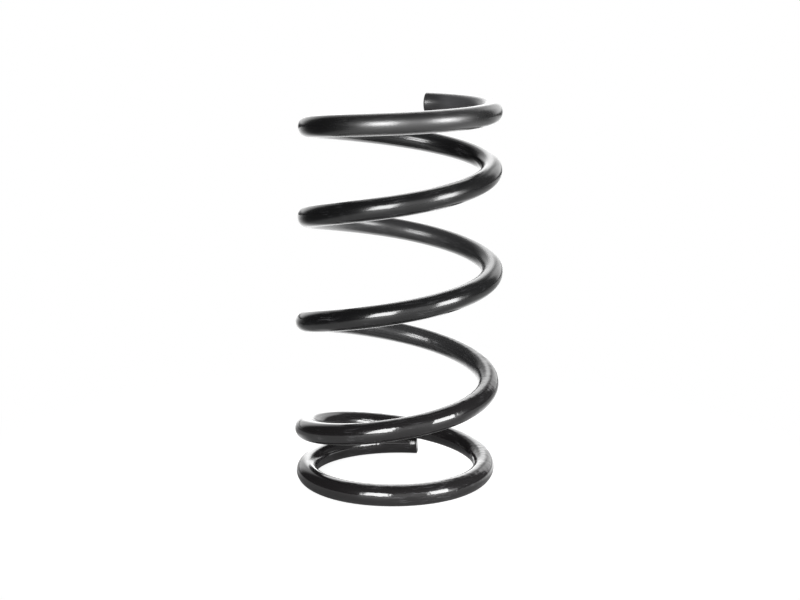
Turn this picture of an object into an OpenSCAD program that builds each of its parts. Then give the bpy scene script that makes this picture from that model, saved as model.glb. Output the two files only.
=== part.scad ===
// Coil spring: one length of round wire, wound right-handed round the Z axis, on end.
// The lower end is closed: its first turn lies flat and its cut tip tucks under the turn above.
// The upper end is drawn in a little and closes towards the turn below without touching it.
// Origin: on the coil's axis, level with the lowest surface of the wire. Millimetres.

/* [Wire] */
// Diameter of the round wire
wire_d = 15; // [10:0.5:18]
// Radius of the rounded edge round each cut end
cut_edge_r = 1.2; // [0.4:0.1:3]

/* [Coil] */
// Mean diameter of the working turns, from wire centre to wire centre
coil_d = 128; // [110:1:180]
// Turns from one cut end to the other
turns = 5; // [4:0.25:5.5]
// Rise per turn of the working turns below the middle
lower_lead = 80.5; // [70:0.5:110]
// Rise per turn of the working turns above the middle
upper_lead = 70.5; // [60:0.5:100]
// Turns over which the rise per turn changes, from the middle up
lead_change_turns = 0.5; // [0.25:0.25:1]
// Direction from the axis to the lower cut end, turned from +X towards +Y
start_angle = 76.5; // [0:0.5:359.5]

/* [Lower end] */
// Turns that lie flat at the lower end
flat_turns = 0.35; // [0:0.05:0.45]
// Clear gap between the lower cut end and the turn above it
tip_gap = 0.5; // [0.3:0.1:3]
// How far the lower cut end stands out from the working turns
tip_flare = 6; // [0:0.5:8]
// Turns over which the lower cut end comes back in line
flare_turns = 0.25; // [0.1:0.05:0.4]

/* [Upper end] */
// Clear height between the upper cut end and the turn below it
end_gap = 13.5; // [8:0.5:30]
// Rise per turn that is left at the upper cut end
end_lead = 0.5; // [0:0.5:8]
// How much nearer the axis the upper cut end is than the working turns
top_narrowing = 5.5; // [0:0.5:10]
// Turns over which the coil draws in towards the upper cut end
narrowing_turns = 1; // [0.5:0.25:3]

/* [Smoothness] */
// Flat sides round the wire
wire_sides = 20; // [12:2:20]
// Sections of wire per turn
sections_per_turn = 56; // [36:4:56]
// Steps in the rounded edge of a cut end
edge_steps = 3; // [1:1:4]

/* [Hidden] */

wire_r = wire_d / 2;
coil_r = coil_d / 2;
full_turn = 360;

// The first turn rises by what lifts the second turn clear of the flared cut tip below it
first_rise = sqrt(pow(wire_d + tip_gap, 2) - pow(tip_flare, 2));
// Past the flat, the rise per turn grows evenly over these turns, so that it gives that first rise
opening_turns = lower_lead * pow(1 - flat_turns, 2) / (2 * first_rise);

// The last turn rises by the wire and the gap under the upper cut end
last_rise = wire_d + end_gap;
// Before that end the rise per turn falls evenly over these turns, so that it gives that last rise
closing_share = (upper_lead - last_rise) / (upper_lead - end_lead);
closing_turns = closing_share < 0.5 ? 2 * closing_share : 0.5 / (1 - closing_share);

// A short step along the wire, in turns, over which its direction is taken
probe = 0.001;
section_count = round(turns * sections_per_turn);
// Length of one turn of wire, used to place the rings of a cut end
turn_length = PI * coil_d;

function unit(v) = v / norm(v);

function limited(x) = max(0, min(1, x));

// Height reached at turn t by a rise per turn that grows evenly from 0 to 1 over a stretch
function eased(t, from, over) =
    over * pow(limited((t - from) / over), 2) / 2 + max(0, t - from - over);

// Height of the wire's centre at turn t, as the sum of what each change of rise per turn adds
function height(t) =
    wire_r
    + lower_lead * eased(t, flat_turns, opening_turns)
    + (upper_lead - lower_lead) * eased(t, turns / 2, lead_change_turns)
    + (end_lead - upper_lead) * eased(t, turns - closing_turns, closing_turns);

// Distance of the wire's centre from the axis at turn t
function reach(t) =
    coil_r
    + tip_flare * pow(max(0, 1 - t / flare_turns), 2)
    - top_narrowing * pow(max(0, 1 - (turns - t) / narrowing_turns), 2);

function outward(t) =
    let (a = start_angle + full_turn * t)
    [cos(a), sin(a), 0];

function centre(t) = reach(t) * outward(t) + [0, 0, height(t)];

function heading(t) = unit(centre(t + probe) - centre(t - probe));

// One ring of points round the wire at turn t, square to the wire
function ring(t, r) =
    let (
        along = heading(t),
        out = unit(outward(t) - (outward(t) * along) * along),
        up = cross(out, along)
    )
    [for (k = [0 : wire_sides - 1])
        let (a = full_turn * k / wire_sides)
        centre(t) + r * (cos(a) * out + sin(a) * up)];

// A cut end's rings step back from the flat cut as they widen to the full wire: [turns back, radius]
edge_rings = [for (j = [0 : edge_steps])
    let (a = 90 * j / edge_steps)
    [cut_edge_r * (1 - cos(a)) / turn_length, wire_r - cut_edge_r * (1 - sin(a))]];

// Every ring from the lower cut end to the upper one: [turn, radius]
stations = concat(
    [for (e = edge_rings) e],
    [for (i = [1 : section_count - 1]) [turns * i / section_count, wire_r]],
    [for (j = [edge_steps : -1 : 0]) [turns - edge_rings[j][0], edge_rings[j][1]]]
);

// A closed skin over rings of equal size, each next to the one before
module skin(rings) {
    sides = len(rings[0]);
    last = len(rings) - 1;
    points = [for (r = rings, p = r) p];
    walls = [for (i = [0 : last - 1], k = [0 : sides - 1])
        let (
            a = i * sides + k,
            b = i * sides + (k + 1) % sides
        )
        each [[a, b, b + sides], [a, b + sides, a + sides]]];
    near_cap = [for (k = [sides - 1 : -1 : 0]) k];
    far_cap = [for (k = [0 : sides - 1]) last * sides + k];
    polyhedron(points = points, faces = concat(walls, [near_cap], [far_cap]));
}

module spring() {
    color("#1d1d1e")
    skin([for (s = stations) ring(s[0], s[1])]);
}

spring();
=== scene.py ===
"""A coil spring in gloss black, standing on a pale floor under two soft boxes.

The wire is one smooth tube swept along the same line as the solid it stands for.
Lengths are in metres and angles in radians. +Z is up, and the camera looks along +Y.
"""

import math

import bpy
import numpy as np
from bpy.props import FloatProperty, FloatVectorProperty, IntProperty, PointerProperty
from mathutils import Matrix, Vector


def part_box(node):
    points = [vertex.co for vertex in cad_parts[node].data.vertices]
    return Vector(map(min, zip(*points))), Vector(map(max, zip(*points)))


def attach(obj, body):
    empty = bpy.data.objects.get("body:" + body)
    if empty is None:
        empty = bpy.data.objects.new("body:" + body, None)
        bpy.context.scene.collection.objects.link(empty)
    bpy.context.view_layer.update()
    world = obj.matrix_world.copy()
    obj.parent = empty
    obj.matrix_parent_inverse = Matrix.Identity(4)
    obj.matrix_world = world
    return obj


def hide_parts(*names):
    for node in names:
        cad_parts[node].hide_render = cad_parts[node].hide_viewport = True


bl_info = {
    "name": "Coil spring",
    "version": (1, 0, 0),
    "blender": (4, 5, 0),
    "location": "3D View > Sidebar > Coil spring",
    "description": "Makes a gloss black coil spring and the stage it stands on",
    "category": "Object",
}

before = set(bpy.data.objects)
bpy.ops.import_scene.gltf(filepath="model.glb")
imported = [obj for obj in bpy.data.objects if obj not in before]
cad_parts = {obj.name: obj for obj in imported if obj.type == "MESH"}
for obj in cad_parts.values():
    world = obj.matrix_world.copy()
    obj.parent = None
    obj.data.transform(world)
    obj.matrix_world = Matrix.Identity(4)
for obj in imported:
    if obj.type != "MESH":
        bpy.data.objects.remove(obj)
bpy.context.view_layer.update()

NODE = "spring"
BODY = "root"

MM = 0.001
DEGREE = math.pi / 180
FULL_TURN = 2 * math.pi

# How far a corner of the wire's box may be off the solid's, as a share of that one's diagonal
BOX_SLACK = 0.03

# Width of the photograph in pixels, and of the camera's sensor in millimetres
IMAGE_WIDTH = 800
SENSOR_WIDTH = 36
# How near and how far the camera sees, in metres
CLIP_START = 0.05
CLIP_END = 50

# How far the wound wire stands off its true line at each quarter turn, in millimetres
PLAY_OUT = (
    0.8, -0.3, -0.6, -0.8, -0.2, 1.0, 0.7, 1.0, 0.5, 1.3, 0.8,
    1.3, 1.1, 0.5, -0.6, -1.4, 0, 1.0, 0.7, 1.0, 0.2,
)
PLAY_UP = (
    0, 0, 0, -0.8, -0.3, 0.9, 0.3, -0.6, -0.4, 0, 0.4,
    0.1, 0.2, -0.8, -0.5, 0.2, 0.1, -0.1, 0.3, 0.1, -0.3,
)
# A short step along the wire, in turns, over which its direction is taken
PROBE = 0.001
# Radii of the rings on a cut face, as shares of the flat part's radius
FACE_RINGS = (0.4, 0.75, 0.96)

# The floor lies a hair below the spring, so that the two share no surface
FLOOR_LEVEL = -0.1 * MM
# Each soft box: its side, the heights of its lower and upper edge, and its width, in millimetres
SOFT_BOXES = (("left", 130, 790, 580), ("right", 120, 1950, 1360))

# Where a Mix node keeps its two colours, its two plain numbers and its mixed colour
MIX_COLOURS = (6, 7)
MIX_NUMBERS = (2, 3)
MIX_RESULT = 2

# The tables below say where things show. A line is one smooth change: the axis that it follows,
# where it starts and where it ends, and the levels before and after it. The lines of a table are
# multiplied. Lengths are in millimetres and bearings in degrees from +Y, growing to the right.

# How far up the coil a point is, from 0 on the lowest turn to 1 on the top one
RISE = (("height", 30, 240, 0, 1),)
# The side that faces into the coil. The closed lower end and the back of the top turn but one are
# as clear inside as outside, and so are the cut faces, which are nearer the middle of the wire.
INWARD = (
    ("across", 2.5, -4, 0, 1),
    ("height", 30, 70, 0, 1),
    ("off_clear_back", 12, 26, 0, 1),
    ("spoke", 6.3, 7.3, 0, 1),
)
# Height of the middle of that clear back
CLEAR_BACK_HEIGHT = 226
# The clean black takes over from the thick coating of the lowest turn
CLEAN = (("height", 30, 120, 0, 1),)
# The dull bloom lies on the outside of the top turn, and hardly on its left and right sides
BLOOM = (
    ("height", 226, 250, 0.05, 1),
    ("across", 1, 4, 0, 1),
    ("aside", -55, -20, 0.05, 1),
    ("aside", 58, 42, 0.2, 1),
)
# Dust lies on the inside of the top turn, a little short of its cut end
DUST = (("height", 245, 257, 0, 1), ("aside", 22, 34, 0, 1))
# The film ran thick and sagged in places on the low turns, but not on their left side
SAGGED = (
    ("film", 0.36, 0.52, 0, 1),
    ("rise", 0, 0.5, 1, 0.15),
    ("aside", -50, -25, 0, 1),
)
# Rub marks are patches of streaks, and they are fainter towards the top
RUBBED = (
    ("streak", 0.5, 0.72, 0, 1),
    ("patch", 0.46, 0.64, 0, 0.75),
    ("rise", 0, 1, 1, 0.5),
)

# How much an edge of the paper, and of the pool of light on it, slants to the right going back
PAPER_SLANT = 0.3
POOL_SLANT = 0.12
# The paper ends at the left, where the floor is dark
PAPER = (("off_paper_edge", -380, -200, 0.12, 1),)
# The painted pool of light is brightest straight behind the coil and fades out over wide
# bearings on the left, and is left out under the coil as a painted shadow of the spring.
POOL = (
    ("bearing", -54, -4, 0, 1),
    ("off_pool_edge", 270, 80, 0, 1),
    ("back", 350, 800, 1, 0.85),
    ("far", 70, 150, 0, 1),
    ("back", -60, 80, 0, 1),
)
# Beyond it painted light lies evenly on the right, at the far end and close round the coil,
# but the ring close round the coil stops short of the floor under it, as a painted shadow
RIGHT_FLOOR = (("aside", 30, 200, 0, 1), ("aside", 950, 450, 0, 1), ("back", -150, 100, 0, 1))
BACK_FLOOR = (("back", 400, 1000, 0, 1), ("bearing", -54, -4, 0, 1))
CLOSE_FLOOR = (("far", 78, 90, 0, 1), ("far", 150, 100, 0, 1), ("back", -10, 60, 0, 1))
# The camera sees the spring's shadow close round the axis, and plain white beyond
PAST_SHADOW = (("far", 100, 350, 0, 1),)

# The backdrop covers these directions, where "up" is the height of a direction of length 1
BACKDROP = (
    ("bearing", -47, -26, 0, 1),
    ("bearing", 38, 19, 0, 1),
    ("up", 0.82, 0.73, 0, 1),
)
# It starts at the horizon and is brightest low down
BACKDROP_SIDES = (("up", 0.6, 0.25, 0.5, 1.25), ("up", -0.02, 0.06, 0, 1))
# Straight behind the spring its middle adds to that
BACKDROP_MIDDLE = (("off_middle", 20, 3, 0, 1),)
# A wing of the backdrop reaches further round on the right, and less high
BACKDROP_WING = (
    ("bearing", 16, 34, 0, 1),
    ("bearing", 53, 41, 0, 1),
    ("up", 0.67, 0.53, 0, 1),
    ("up", -0.02, 0.06, 0, 1),
)
# The rest of the studio is dark on the left and grey on the right
STUDIO = (("right", -1, 1, 0.03, 0.12),)
# Two soft glows between the soft boxes and right of them: each one's direction, the cosines of
# the angles from it at which it starts and is full, and its radiance
GLOWS = (
    ((0.24, -0.97, 0.05), 0.8, 0.97, 0.5),
    ((0.89, -0.42, 0.17), 0.97, 0.995, 1.1),
)


def linear(code):
    """An sRGB hex colour such as #1d1d1e as the linear red, green and blue that shaders take."""
    parts = [int(code[i : i + 2], 16) / 255 for i in (1, 3, 5)]
    return [p / 12.92 if p <= 0.04045 else ((p + 0.055) / 1.055) ** 2.4 for p in parts]


def length(name, description, millimetres):
    """A length in metres, with its default given in millimetres."""
    return FloatProperty(
        name=name,
        description=description,
        default=millimetres * MM,
        precision=4,
        unit="LENGTH",
        subtype="DISTANCE",
    )


def number(name, description, default):
    """A plain number that isn't below 0, such as turns, a refractive index or a radiance."""
    return FloatProperty(name=name, description=description, default=default, min=0)


def angle(name, description, degrees):
    """An angle in radians, with its default given in degrees."""
    return FloatProperty(
        name=name,
        description=description,
        default=math.radians(degrees),
        unit="ROTATION",
        subtype="ANGLE",
    )


def share(name, description, default):
    """A share from 0 to 1, such as a roughness."""
    return FloatProperty(
        name=name, description=description, default=default, min=0, max=1, subtype="FACTOR"
    )


def colour(name, description, code):
    """A colour, with its default given as sRGB hex."""
    return FloatVectorProperty(
        name=name, description=description, default=linear(code), size=3, subtype="COLOR"
    )


class CoilSizes(bpy.types.PropertyGroup):
    """Sizes of the round wire and of the coil that it is wound into."""

    wire_diameter: length("Wire diameter", "Diameter of the round wire", 15)
    cut_edge: length("Cut edge radius", "Radius of the rounded edge round each cut end", 1.2)
    coil_diameter: length("Coil diameter", "Mean diameter of the working turns", 128)
    turns: number("Turns", "Turns from one cut end to the other", 5)
    lower_lead: length("Lower lead", "Rise per turn of the turns below the middle", 80.5)
    upper_lead: length("Upper lead", "Rise per turn of the turns above the middle", 70.5)
    lead_change: number("Lead change", "Turns over which the rise per turn changes", 0.5)
    start_angle: angle("Start angle", "Direction of the lower cut end, from +X to +Y", 76.5)
    flat_turns: number("Flat turns", "Turns that lie flat at the lower end", 0.35)
    tip_gap: length("Tip gap", "Gap between the lower cut end and the turn above it", 0.5)
    tip_flare: length("Tip flare", "How far the lower cut end stands out from the turns", 6)
    flare_turns: number("Flare turns", "Turns over which that end comes back in line", 0.25)
    end_gap: length("End gap", "Gap between the upper cut end and the turn below it", 13.5)
    end_lead: length("End lead", "Rise per turn that is left at the upper cut end", 0.5)
    top_narrowing: length("Top narrowing", "How much nearer the axis the upper cut end is", 5.5)
    narrowing_turns: number("Narrowing turns", "Turns over which the coil draws in", 1)
    upper_trim: length(
        "Upper trim", "How much shorter the upper end is cut than in the solid", 3.3
    )
    play: share("Play", "How much of the unevenness of hot winding shows", 1)
    sides: IntProperty(name="Sides", description="Points round the wire", default=56, min=12)
    rings: IntProperty(name="Rings", description="Rings of points per turn", default=216, min=48)
    edge_steps: IntProperty(
        name="Edge steps", description="Rings in a rounded edge", default=7, min=2
    )


class CoatingLook(bpy.types.PropertyGroup):
    """Colours and surface detail of the black coating."""

    black: colour("Black", "Colour of the clean coating", "#111112")
    thick: colour("Thick", "Colour of the thicker coating on the lowest turn", "#1f1d1e")
    inner: colour("Inner", "Colour of the thin, dusty coat inside the coil", "#323233")
    scuff: colour("Scuff", "Colour of rub marks and dust", "#77777a")
    rub_cover: share("Rub cover", "How much of a rub mark's streak is of that colour", 0.5)
    dust_cover: share("Dust cover", "How much of it shows in the dust in the top turn", 0.4)
    # A baked film has an IOR of about 1.5, but the photograph's highlights against its darks ask
    # for more
    film_ior: number("Film IOR", "Refractive index of the film", 1.9)
    low_roughness: share("Low roughness", "Roughness of the film on the lowest turn", 0.11)
    top_roughness: share("Top roughness", "Roughness of the film on the top turn", 0.21)
    inner_roughness: share("Inner roughness", "What the inside of the coil adds to it", 0.1)
    rub_roughness: share("Rub roughness", "What a rub mark adds to it", 0.25)
    bloom_haze: share("Bloom haze", "What the bloom adds to it", 0.1)
    bloom: share("Bloom", "How much dull bloom lies on the film of the top turn", 1)
    bloom_ior: number("Bloom IOR", "Refractive index of the bloom", 1.85)
    bloom_roughness: share("Bloom roughness", "Roughness of the bloom", 0.42)
    # Real orange peel is too shallow to show at the photograph's size, so it is drawn deeper
    peel_size: length("Peel size", "Distance between the crests of the orange peel", 2.4)
    peel_depth: length("Peel depth", "Depth of the orange peel", 0.012)
    wave_size: length("Wave size", "Length of the slow waves that winding leaves", 16)
    wave_depth: length("Wave depth", "Depth of those waves", 0.08)
    thick_size: length("Thick size", "Size of the places where the film ran thick", 22)
    sag_size: length("Sag size", "Length of the sags in such a place", 4.2)
    sag_depth: length("Sag depth", "Depth of those sags", 0.2)
    # Real dust nibs are 0.1 to 0.2 mm in radius, too fine to show, so they are drawn coarser
    nib_spacing: length("Nib spacing", "Distance between dust nibs under the coating", 9)
    nib_radius: length("Nib radius", "Radius of one dust nib", 0.45)
    nib_height: length("Nib height", "Height of one dust nib", 0.1)
    rub_size: length("Rub size", "Size of the patches of rub marks", 24)
    # Real rub streaks are 0.1 to 0.3 mm apart, too fine to show, so they are drawn coarser
    streak_width: length("Streak width", "Distance between the streaks in a patch", 1.1)
    streak_squeeze: share("Streak squeeze", "Width of a streak as a share of its length", 0.12)


class StudioLook(bpy.types.PropertyGroup):
    """Colours, lights and camera of the stage."""

    # Greyer than white paper, as its reflections in the coil ask for
    floor: colour("Floor", "Colour of the paper floor", "#b6b6b6")
    backdrop: colour("Backdrop", "Colour of the backdrop", "#ffffff")
    floor_width: length("Floor width", "Width of the square floor", 4000)
    paper_roughness: share("Paper roughness", "Roughness of the paper floor", 0.6)
    paper_glow: number("Paper glow", "What the camera sees the paper add round the coil", 0.88)
    left_distance: length("Left distance", "Distance from the axis to the left soft box", 1180)
    right_distance: length("Right distance", "Distance from it to the right soft box", 3200)
    left_bearing: angle("Left bearing", "How far right of the camera the left one is", -21.2)
    right_bearing: angle("Right bearing", "How far right of the camera the right one is", 51)
    box_radiance: number("Box radiance", "Brightness of a soft box, where 1 is white", 9.5)
    middle_radiance: number("Middle radiance", "What the backdrop's middle adds", 2.1)
    wing_radiance: number("Wing radiance", "Brightness of the backdrop's right wing", 1.3)
    pool_radiance: number("Pool radiance", "Brightness of the pool of light", 1.6)
    right_radiance: number("Right radiance", "Brightness of the floor on the right", 0.3)
    back_radiance: number("Back radiance", "Brightness of the floor at the far end", 0.5)
    close_radiance: number("Close radiance", "Brightness of the floor round the coil", 0.7)
    camera_distance: length("Camera distance", "Distance from the camera to its aim", 1127.21)
    aim_height: length("Aim height", "Height of the point that the camera aims at", 132.2)
    aim_aside: length("Aim aside", "How far right of the axis that point is", 0.88)
    camera_elevation: angle("Camera elevation", "Angle that the camera looks down by", 11.007)
    camera_roll: angle("Camera roll", "Turn of the camera round its own view", 1.106)
    lens_pixels: number("Lens", "Focal length in pixels of an image 800 wide", 1595.2)


def eased(t, start, over):
    """Rise at turn t where the slope grows evenly from 0 at start to 1 after that many turns.

    It is half the square of the way into that stretch over its length, and then straight on.
    """
    part = np.clip((t - start) / over, 0, 1)
    return over * part**2 / 2 + np.maximum(0, t - start - over)


def wire_height(sizes, t):
    """Height of the wire's centre at turn t: its radius, plus what each change of lead adds.

    The first turn rises by what lifts the second turn clear of the flared tip, and the last turn
    rises by the wire and the gap under the upper cut end. The lead changes evenly to give that.
    """
    first_rise = math.sqrt((sizes.wire_diameter + sizes.tip_gap) ** 2 - sizes.tip_flare**2)
    opening = sizes.lower_lead * (1 - sizes.flat_turns) ** 2 / (2 * first_rise)
    last_rise = sizes.wire_diameter + sizes.end_gap
    part = (sizes.upper_lead - last_rise) / (sizes.upper_lead - sizes.end_lead)
    closing = 2 * part if part < 0.5 else 0.5 / (1 - part)
    return (
        sizes.wire_diameter / 2
        + sizes.lower_lead * eased(t, sizes.flat_turns, opening)
        + (sizes.upper_lead - sizes.lower_lead) * eased(t, sizes.turns / 2, sizes.lead_change)
        + (sizes.end_lead - sizes.upper_lead) * eased(t, sizes.turns - closing, closing)
    )


def wire_reach(sizes, t):
    """Distance of the wire's centre from the axis at turn t.

    It is the coil's radius, plus the flare of the lower tip and minus the narrowing at the top,
    each of which falls away as the square of the distance left.
    """
    flare = np.maximum(0, 1 - t / sizes.flare_turns) ** 2
    narrowing = np.maximum(0, 1 - (sizes.turns - t) / sizes.narrowing_turns) ** 2
    return sizes.coil_diameter / 2 + sizes.tip_flare * flare - sizes.top_narrowing * narrowing


def outward(sizes, t):
    """Unit vectors from the axis towards the wire at turn t: cos and sin of its angle."""
    turned = sizes.start_angle + FULL_TURN * t
    return np.stack([np.cos(turned), np.sin(turned), np.zeros_like(t)], 1)


def play(amounts, t):
    """What hot winding leaves: the amounts at the quarter turns, eased from each one to the next.

    The weight of an amount is the squared cosine of a quarter circle over the way to the next one.
    """
    quarters = np.arange(len(amounts)) / 4
    away = np.clip(np.abs(t[:, None] - quarters) * 4, 0, 1)
    return np.cos(away * math.pi / 2) ** 2 @ (np.array(amounts) * MM)


def wire_centre(sizes, t):
    """Centre of the wire at turn t: out from the axis by the reach, and up by the height."""
    reach = wire_reach(sizes, t) + sizes.play * play(PLAY_OUT, t)
    centre = reach[:, None] * outward(sizes, t)
    centre[:, 2] = wire_height(sizes, t) + sizes.play * play(PLAY_UP, t)
    return centre


def unit(vectors):
    """The vectors, each divided by its own length."""
    return vectors / np.linalg.norm(vectors, axis=-1, keepdims=True)


def wire_stations(sizes):
    """Turn and radius of every ring, from the lower cut end to the upper one.

    A cut end is a flat disc and then a quarter circle, in which the ring steps back along the wire
    by 1 - cos of an angle and widens by sin of it, up to the wire's full radius.
    """
    radius = sizes.wire_diameter / 2
    turn_length = math.pi * sizes.coil_diameter
    a = np.linspace(0, math.pi / 2, sizes.edge_steps + 1)
    back = sizes.cut_edge * (1 - np.cos(a)) / turn_length
    edge = radius - sizes.cut_edge * (1 - np.sin(a))
    disc = edge[0] * np.array(FACE_RINGS)
    end_turns = np.concatenate([np.zeros_like(disc), back])
    end_radii = np.concatenate([disc, edge])
    steps = round(sizes.turns * sizes.rings)
    last = sizes.turns - sizes.upper_trim / turn_length
    middle = last * np.arange(1, steps) / steps
    turns = np.concatenate([end_turns, middle, last - end_turns[::-1]])
    radii = np.concatenate([end_radii, np.full_like(middle, radius), end_radii[::-1]])
    return turns, radii


def wire_grid(sizes):
    """Points of the wire as rings by sides, and their places on the wire pulled straight.

    A point is the ring's centre, plus the radius times cos a outwards and times sin a upwards,
    both square to the wire. Pulled straight, it is the length travelled along the wire, and the
    radius times cos a and times sin a. Each result ends with the centre points of the two ends.
    """
    turns, radii = wire_stations(sizes)
    centre = wire_centre(sizes, turns)
    along = unit(wire_centre(sizes, turns + PROBE) - wire_centre(sizes, turns - PROBE))
    out = outward(sizes, turns)
    out = unit(out - (out * along).sum(1, keepdims=True) * along)
    up = np.cross(out, along)
    a = FULL_TURN * np.arange(sizes.sides) / sizes.sides
    across = radii[:, None] * np.cos(a)
    above = radii[:, None] * np.sin(a)
    points = centre[:, None] + across[..., None] * out[:, None] + above[..., None] * up[:, None]
    steps = np.linalg.norm(np.diff(centre, axis=0), axis=1)
    travelled = np.concatenate([[0], np.cumsum(steps)])
    straight = np.stack([np.repeat(travelled[:, None], sizes.sides, 1), across, above], -1)
    ends = np.zeros((2, 3))
    ends[:, 0] = travelled[[0, -1]]
    points = np.concatenate([points.reshape(-1, 3), centre[[0, -1]]])
    straight = np.concatenate([straight.reshape(-1, 3), ends])
    return points, straight, len(turns)


def tube_faces(rings, sides):
    """Quads between neighbouring rings, and a fan of triangles from a centre point over each end.

    Point k of ring i has the number i * sides + k, and the two centre points come after the last.
    """
    i, k = np.meshgrid(np.arange(rings - 1), np.arange(sides), indexing="ij")
    here = i * sides + k
    beside = i * sides + (k + 1) % sides
    quads = np.stack([here, here + sides, beside + sides, beside], -1).reshape(-1, 4)
    k = np.arange(sides)
    beside = (k + 1) % sides
    last = (rings - 1) * sides
    centre = np.full(sides, rings * sides)
    near = np.stack([centre, k, beside], 1)
    far = np.stack([centre + 1, last + beside, last + k], 1)
    return quads.tolist() + near.tolist() + far.tolist()


def mesh_object(name, points, faces):
    """A smooth mesh object at the origin, with its place in its points."""
    mesh = bpy.data.meshes.new(name)
    mesh.from_pydata(points.tolist(), [], faces)
    mesh.polygons.foreach_set("use_smooth", np.ones(len(faces), bool))
    mesh.update()
    piece = bpy.data.objects.new(name, mesh)
    bpy.context.scene.collection.objects.link(piece)
    return piece


def add_node(tree, kind, settings):
    """Adds a node with its settings and links.

    A setting named in small letters is the node's own, and any other name or number is an input.
    An input takes a value, an output to link, or a node, which stands for its first output.
    """
    node = tree.nodes.new("ShaderNode" + kind)
    for name, value in settings.items():
        if isinstance(name, str) and name.islower():
            setattr(node, name, value)
        elif isinstance(value, bpy.types.Node):
            tree.links.new(value.outputs[0], node.inputs[name])
        elif isinstance(value, bpy.types.NodeSocket):
            tree.links.new(value, node.inputs[name])
        else:
            node.inputs[name].default_value = value
    return node


def empty_tree(data):
    """The node tree of a material or of the world, with nothing in it."""
    data.use_nodes = True
    data.node_tree.nodes.clear()
    return data.node_tree


def region(tree, axes, changes):
    """Where something shows: the product of a table's smooth changes.

    An axis is an output and the unit of its numbers. A change goes from its level before to its
    level after by 3 s² - 2 s³, where s is how much of the way from its start to its end is done.
    """
    product = None
    for axis, start, end, before, after in changes:
        place, step = axes[axis]
        change = add_node(
            tree,
            "MapRange",
            {
                "interpolation_type": "SMOOTHSTEP",
                "Value": place,
                "From Min": start * step,
                "From Max": end * step,
                "To Min": before,
                "To Max": after,
            },
        )
        if product is None:
            product = change
        else:
            product = add_node(tree, "Math", {"operation": "MULTIPLY", 0: product, 1: change})
    return product


def coating_bump(tree, look, place, axes):
    """Normal of the film: slow waves, orange peel, sags and dust nibs as one height in metres."""
    wave, peel, sag, film = (
        add_node(
            tree,
            "TexNoise",
            {"Vector": place, "Scale": 1 / size, "Detail": detail, "Roughness": roughness},
        )
        for size, detail, roughness in (
            (look.wave_size, 1, 0.5),
            (look.peel_size, 2, 0.4),
            (look.sag_size, 1, 0.5),
            (look.thick_size, 1, 0.5),
        )
    )
    sagged = region(tree, {**axes, "film": (film, 1)}, SAGGED)
    sag = add_node(tree, "Math", {"operation": "MULTIPLY", 0: sag, 1: sagged})
    # Each cell of the pattern holds one speck, and fewer of them are nibs towards the top
    specks = add_node(tree, "TexVoronoi", {"Vector": place, "Scale": 1 / look.nib_spacing})
    drawn = add_node(tree, "SeparateColor", {"Color": specks.outputs["Color"]})
    rise, _ = axes["rise"]
    kept = add_node(tree, "Math", {"operation": "GREATER_THAN", 0: drawn, 1: rise})
    nib_size = look.nib_radius / look.nib_spacing
    nib = region(tree, {"speck": (specks, 1)}, (("speck", nib_size, 0, 0, 1),))
    nib = add_node(tree, "Math", {"operation": "MULTIPLY", 0: nib, 1: kept})
    height = 0
    for layer, depth in (
        (wave, look.wave_depth),
        (peel, look.peel_depth),
        (sag, look.sag_depth),
        (nib, look.nib_height),
    ):
        height = add_node(
            tree, "Math", {"operation": "MULTIPLY_ADD", 0: layer, 1: depth, 2: height}
        )
    return add_node(tree, "Bump", {"Strength": 1, "Distance": 1, "Height": height})


def coating_rubs(tree, look, place, straight, axes):
    """Patches of fine streaks along the wire, where it has rubbed on what it lay against."""
    squeeze = (look.streak_squeeze, 1, 1)
    squeezed = add_node(tree, "VectorMath", {"operation": "MULTIPLY", 0: straight, 1: squeeze})
    streak = add_node(
        tree,
        "TexNoise",
        {"Vector": squeezed, "Scale": 1 / look.streak_width, "Detail": 3, "Roughness": 0.6},
    )
    patch = add_node(tree, "TexNoise", {"Vector": place, "Scale": 1 / look.rub_size, "Detail": 2})
    return region(tree, {**axes, "streak": (streak, 1), "patch": (patch, 1)}, RUBBED)


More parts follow.
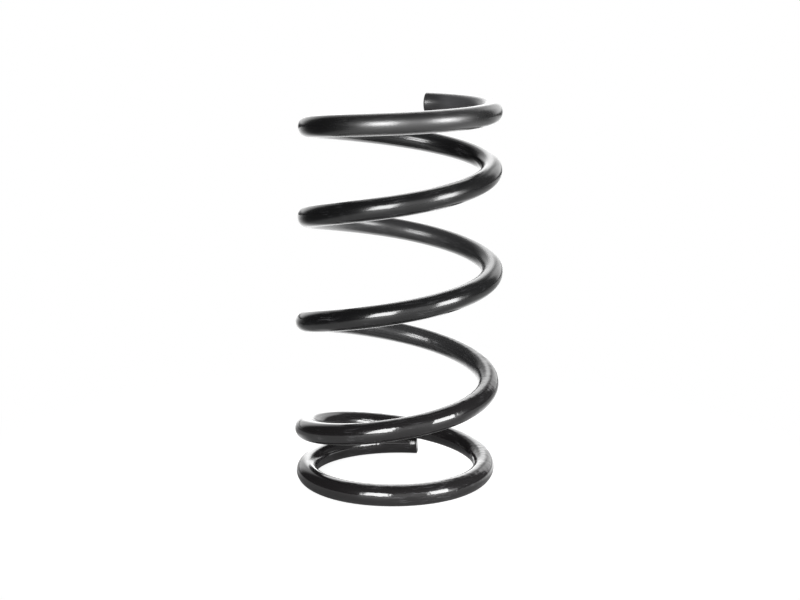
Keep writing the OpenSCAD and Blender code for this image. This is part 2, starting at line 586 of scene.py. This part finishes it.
def coating_material(look):
    """Gloss black powder coat on spring steel, sprayed on as powder and baked.

    It gives the eye a near-black film that mirrors the studio, clear on the low turns, with sags,
    dust nibs and rub marks, and softer towards the top, where a dull bloom lies on it. The side
    that faces into the coil got less powder: it is duller and a dusty charcoal.
    """
    material = bpy.data.materials.new("gloss_black_powder_coat")
    tree = empty_tree(material)
    place = add_node(tree, "TexCoord", {}).outputs["Object"]
    parts = add_node(tree, "SeparateXYZ", {0: place})
    height = parts.outputs["Z"]
    straight = add_node(tree, "Attribute", {"attribute_name": "wire_place"}).outputs["Vector"]
    across = add_node(tree, "SeparateXYZ", {0: straight}).outputs["Y"]
    spoke = add_node(tree, "VectorMath", {"operation": "MULTIPLY", 0: straight, 1: (0, 1, 1)})
    spoke = add_node(tree, "VectorMath", {"operation": "LENGTH", 0: spoke})
    off_back = add_node(
        tree, "Math", {"operation": "SUBTRACT", 0: height, 1: CLEAR_BACK_HEIGHT * MM}
    )
    off_back = add_node(tree, "Math", {"operation": "ABSOLUTE", 0: off_back})
    axes = {
        "aside": (parts.outputs["X"], MM),
        "height": (height, MM),
        "across": (across, MM),
        "spoke": (spoke.outputs["Value"], MM),
        "off_clear_back": (off_back, MM),
    }
    axes["rise"] = (region(tree, axes, RISE), 1)
    inward = region(tree, axes, INWARD)
    rub = coating_rubs(tree, look, place, straight, axes)
    bloom = region(tree, axes, BLOOM)
    bloom = add_node(tree, "Math", {"operation": "MULTIPLY", 0: bloom, 1: look.bloom})
    dust = region(tree, axes, DUST)
    dust = add_node(tree, "Math", {"operation": "MULTIPLY", 0: dust, 1: inward})
    roughness = region(tree, axes, (("rise", 0, 1, look.low_roughness, look.top_roughness),))
    for layer, more in (
        (rub, look.rub_roughness),
        (inward, look.inner_roughness),
        (bloom, look.bloom_haze),
    ):
        roughness = add_node(
            tree, "Math", {"operation": "MULTIPLY_ADD", 0: layer, 1: more, 2: roughness}
        )
    soiled = 0
    for layer, cover in ((rub, look.rub_cover), (dust, look.dust_cover)):
        soiled = add_node(
            tree, "Math", {"operation": "MULTIPLY_ADD", 0: layer, 1: cover, 2: soiled}
        )
    tint = (*look.thick, 1)
    under, over = MIX_COLOURS
    for layer, cover in (
        (look.black, region(tree, axes, CLEAN)),
        (look.inner, inward),
        (look.scuff, soiled),
    ):
        mix = {"data_type": "RGBA", "Factor": cover, under: tint, over: (*layer, 1)}
        tint = add_node(tree, "Mix", mix).outputs[MIX_RESULT]
    shader = add_node(
        tree,
        "BsdfPrincipled",
        {
            "Base Color": tint,
            "Roughness": roughness,
            "IOR": look.film_ior,
            "Normal": coating_bump(tree, look, place, axes),
            "Coat Weight": bloom,
            "Coat Roughness": look.bloom_roughness,
            "Coat IOR": look.bloom_ior,
        },
    )
    add_node(tree, "OutputMaterial", {"Surface": shader})
    return material


def floor_material(look):
    """Seamless white paper, matt with a slight sheen.

    The camera sees it white, with the spring's soft shadow close round the axis. Every other ray
    sees the paper as the lamps light it, plus a painted glow: a pool of light behind the spring
    and even light round it, with a painted shadow of the spring under the coil.
    """
    material = bpy.data.materials.new("matt_white_paper")
    tree = empty_tree(material)
    place = add_node(tree, "TexCoord", {}).outputs["Object"]
    parts = add_node(tree, "SeparateXYZ", {0: place})
    x, y = parts.outputs["X"], parts.outputs["Y"]
    bearing = add_node(tree, "Math", {"operation": "ARCTAN2", 0: x, 1: y})
    far = add_node(tree, "VectorMath", {"operation": "LENGTH", 0: place})
    axes = {
        "aside": (x, MM),
        "back": (y, MM),
        "bearing": (bearing, DEGREE),
        "far": (far.outputs["Value"], MM),
    }
    for edge, slant in (("off_paper_edge", PAPER_SLANT), ("off_pool_edge", POOL_SLANT)):
        across = add_node(tree, "Math", {"operation": "MULTIPLY_ADD", 0: y, 1: -slant, 2: x})
        axes[edge] = (across, MM)
    dark, pale = MIX_COLOURS
    tint = add_node(
        tree,
        "Mix",
        {
            "data_type": "RGBA",
            "Factor": region(tree, axes, PAPER),
            dark: (0, 0, 0, 1),
            pale: (*look.floor, 1),
        },
    )
    paper = add_node(
        tree,
        "BsdfPrincipled",
        {"Base Color": tint.outputs[MIX_RESULT], "Roughness": look.paper_roughness},
    )
    # Painted light on the paper, left out under the coil as the spring's painted shadow
    glow = 0
    for changes, radiance in (
        (POOL, look.pool_radiance),
        (RIGHT_FLOOR, look.right_radiance),
        (BACK_FLOOR, look.back_radiance),
        (CLOSE_FLOOR, look.close_radiance),
    ):
        layer = region(tree, axes, changes)
        glow = add_node(
            tree, "Math", {"operation": "MULTIPLY_ADD", 0: layer, 1: radiance, 2: glow}
        )
    glow = add_node(tree, "Emission", {"Strength": glow})
    lit = add_node(tree, "AddShader", {0: paper, 1: glow})
    shaded = add_node(tree, "Emission", {"Strength": look.paper_glow})
    shaded = add_node(tree, "AddShader", {0: shaded, 1: paper})
    white = add_node(tree, "Emission", {"Strength": 1})
    past_shadow = region(tree, axes, PAST_SHADOW)
    seen = add_node(tree, "MixShader", {0: past_shadow, 1: shaded, 2: white})
    ray = add_node(tree, "LightPath", {}).outputs["Is Camera Ray"]
    both = add_node(tree, "MixShader", {0: ray, 1: lit, 2: seen})
    add_node(tree, "OutputMaterial", {"Surface": both})
    return material


def studio_world(look):
    """A dim studio with an overexposed backdrop behind the spring, and white for the camera.

    The backdrop is brightest straight behind the spring. The studio is dark on the left and grey
    on the right, and a little brighter between the soft boxes and right of them.
    """
    world = bpy.context.scene.world or bpy.data.worlds.new("studio")
    bpy.context.scene.world = world
    tree = empty_tree(world)
    direction = add_node(tree, "TexCoord", {}).outputs["Generated"]
    parts = add_node(tree, "SeparateXYZ", {0: direction})
    x, y = parts.outputs["X"], parts.outputs["Y"]
    bearing = add_node(tree, "Math", {"operation": "ARCTAN2", 0: x, 1: y})
    off_middle = add_node(tree, "Math", {"operation": "ABSOLUTE", 0: bearing})
    axes = {
        "right": (x, 1),
        "up": (parts.outputs["Z"], 1),
        "bearing": (bearing, DEGREE),
        "off_middle": (off_middle, DEGREE),
    }
    layers = [
        (region(tree, axes, STUDIO), 1),
        (region(tree, axes, BACKDROP + BACKDROP_SIDES), 1),
        (region(tree, axes, BACKDROP + BACKDROP_MIDDLE), look.middle_radiance),
        (region(tree, axes, BACKDROP_WING), look.wing_radiance),
    ]
    for centre, start, full, radiance in GLOWS:
        towards = add_node(
            tree, "VectorMath", {"operation": "DOT_PRODUCT", 0: direction, 1: centre}
        )
        axis = {"towards": (towards.outputs["Value"], 1)}
        layers.append((region(tree, axis, (("towards", start, full, 0, 1),)), radiance))
    studio = 0
    for layer, radiance in layers:
        studio = add_node(
            tree, "Math", {"operation": "MULTIPLY_ADD", 0: layer, 1: radiance, 2: studio}
        )
    ray = add_node(tree, "LightPath", {}).outputs["Is Camera Ray"]
    unseen, seen = MIX_NUMBERS
    strength = add_node(
        tree, "Mix", {"data_type": "FLOAT", "Factor": ray, unseen: studio, seen: 1.0}
    )
    light = add_node(tree, "Background", {"Color": (*look.backdrop, 1), "Strength": strength})
    add_node(tree, "OutputWorld", {"Surface": light})


def soft_box(look, side, low, high, width):
    """A rectangular soft box that stands at its bearing from the camera's side and faces the axis.

    A flat lamp's power is pi times its radiance times its area.
    """
    distance = getattr(look, side + "_distance")
    bearing = getattr(look, side + "_bearing")
    name = side + "_soft_box"
    data = bpy.data.lights.new(name, "AREA")
    data.shape = "RECTANGLE"
    data.size = width
    data.size_y = high - low
    data.energy = look.box_radiance * width * (high - low) * math.pi
    lamp = bpy.data.objects.new(name, data)
    bpy.context.scene.collection.objects.link(lamp)
    lamp.location = (
        distance * math.sin(bearing),
        -distance * math.cos(bearing),
        (low + high) / 2,
    )
    lamp.rotation_euler = (math.pi / 2, 0, bearing)
    lamp.visible_camera = False


def photo_camera(look):
    """The camera: behind its aim by the distance, tipped down by the elevation, and rolled."""
    tip, roll = look.camera_elevation, look.camera_roll
    forward = Vector((0, math.cos(tip), -math.sin(tip)))
    up = Vector((0, math.sin(tip), math.cos(tip)))
    side = Vector((1, 0, 0))
    right = math.cos(roll) * side + math.sin(roll) * up
    above = math.cos(roll) * up - math.sin(roll) * side
    data = bpy.data.cameras.new("photo_camera")
    data.sensor_fit = "HORIZONTAL"
    data.sensor_width = SENSOR_WIDTH
    data.lens = look.lens_pixels * SENSOR_WIDTH / IMAGE_WIDTH
    data.clip_start = CLIP_START
    data.clip_end = CLIP_END
    camera = bpy.data.objects.new("photo_camera", data)
    bpy.context.scene.collection.objects.link(camera)
    aim = Vector((look.aim_aside, 0, look.aim_height))
    place = Matrix((right, above, -forward)).transposed().to_4x4()
    place.translation = aim - look.camera_distance * forward
    camera.matrix_world = place
    bpy.context.scene.camera = camera


class COILSPRING_OT_wire(bpy.types.Operator):
    """Make the coiled wire with its black coating"""

    bl_idname = "coilspring.wire"
    bl_label = "Make wire"

    def execute(self, context):
        sizes = context.scene.coil_sizes
        points, straight, rings = wire_grid(sizes)
        piece = mesh_object("coiled_wire", points, tube_faces(rings, sizes.sides))
        placed = piece.data.attributes.new("wire_place", "FLOAT_VECTOR", "POINT")
        placed.data.foreach_set("vector", straight.ravel())
        piece.data.materials.append(coating_material(context.scene.coating_look))
        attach(piece, BODY)
        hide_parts(NODE)
        low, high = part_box(NODE)
        slack = BOX_SLACK * (high - low).length
        off = max(np.abs(points.min(0) - low).max(), np.abs(points.max(0) - high).max())
        if off > slack:
            raise RuntimeError("the wire doesn't fill the box of the solid it stands for")
        return {"FINISHED"}


class COILSPRING_OT_stage(bpy.types.Operator):
    """Make the floor, the studio, the soft boxes and the camera"""

    bl_idname = "coilspring.stage"
    bl_label = "Make stage"

    def execute(self, context):
        look = context.scene.studio_look
        half = look.floor_width / 2
        x, y = np.meshgrid([-half, half], [-half, half], indexing="ij")
        corners = np.stack([x, y, np.full_like(x, FLOOR_LEVEL)], -1).reshape(-1, 3)
        floor = mesh_object("paper_floor", corners, [(0, 2, 3, 1)])
        floor.data.materials.append(floor_material(look))
        studio_world(look)
        for side, low, high, width in SOFT_BOXES:
            soft_box(look, side, low * MM, high * MM, width * MM)
        photo_camera(look)
        context.scene.view_settings.view_transform = "Standard"
        return {"FINISHED"}


class COILSPRING_PT_panel(bpy.types.Panel):
    """Lists the operators and their sizes and looks in the sidebar"""

    bl_idname = "COILSPRING_PT_panel"
    bl_label = "Coil spring"
    bl_space_type = "VIEW_3D"
    bl_region_type = "UI"
    bl_category = "Coil spring"

    def draw(self, context):
        for operator, owners in (
            (COILSPRING_OT_wire, ("coil_sizes", "coating_look")),
            (COILSPRING_OT_stage, ("studio_look",)),
        ):
            box = self.layout.box()
            for owner in owners:
                group = getattr(context.scene, owner)
                for name in group.bl_rna.properties.keys():
                    if name not in ("rna_type", "name"):
                        box.prop(group, name)
            box.operator(operator.bl_idname)


CLASSES = (
    CoilSizes,
    CoatingLook,
    StudioLook,
    COILSPRING_OT_wire,
    COILSPRING_OT_stage,
    COILSPRING_PT_panel,
)


def register():
    """Registers the classes, and puts the sizes and looks on the scene."""
    for made in CLASSES:
        bpy.utils.register_class(made)
    bpy.types.Scene.coil_sizes = PointerProperty(type=CoilSizes)
    bpy.types.Scene.coating_look = PointerProperty(type=CoatingLook)
    bpy.types.Scene.studio_look = PointerProperty(type=StudioLook)


def unregister():
    """Takes them away again."""
    del bpy.types.Scene.studio_look
    del bpy.types.Scene.coating_look
    del bpy.types.Scene.coil_sizes
    for made in reversed(CLASSES):
        bpy.utils.unregister_class(made)


def main():
    """Makes the spring and its stage."""
    register()
    bpy.ops.coilspring.wire()
    bpy.ops.coilspring.stage()
    bpy.context.view_layer.update()


if __name__ == "__main__":
    main()
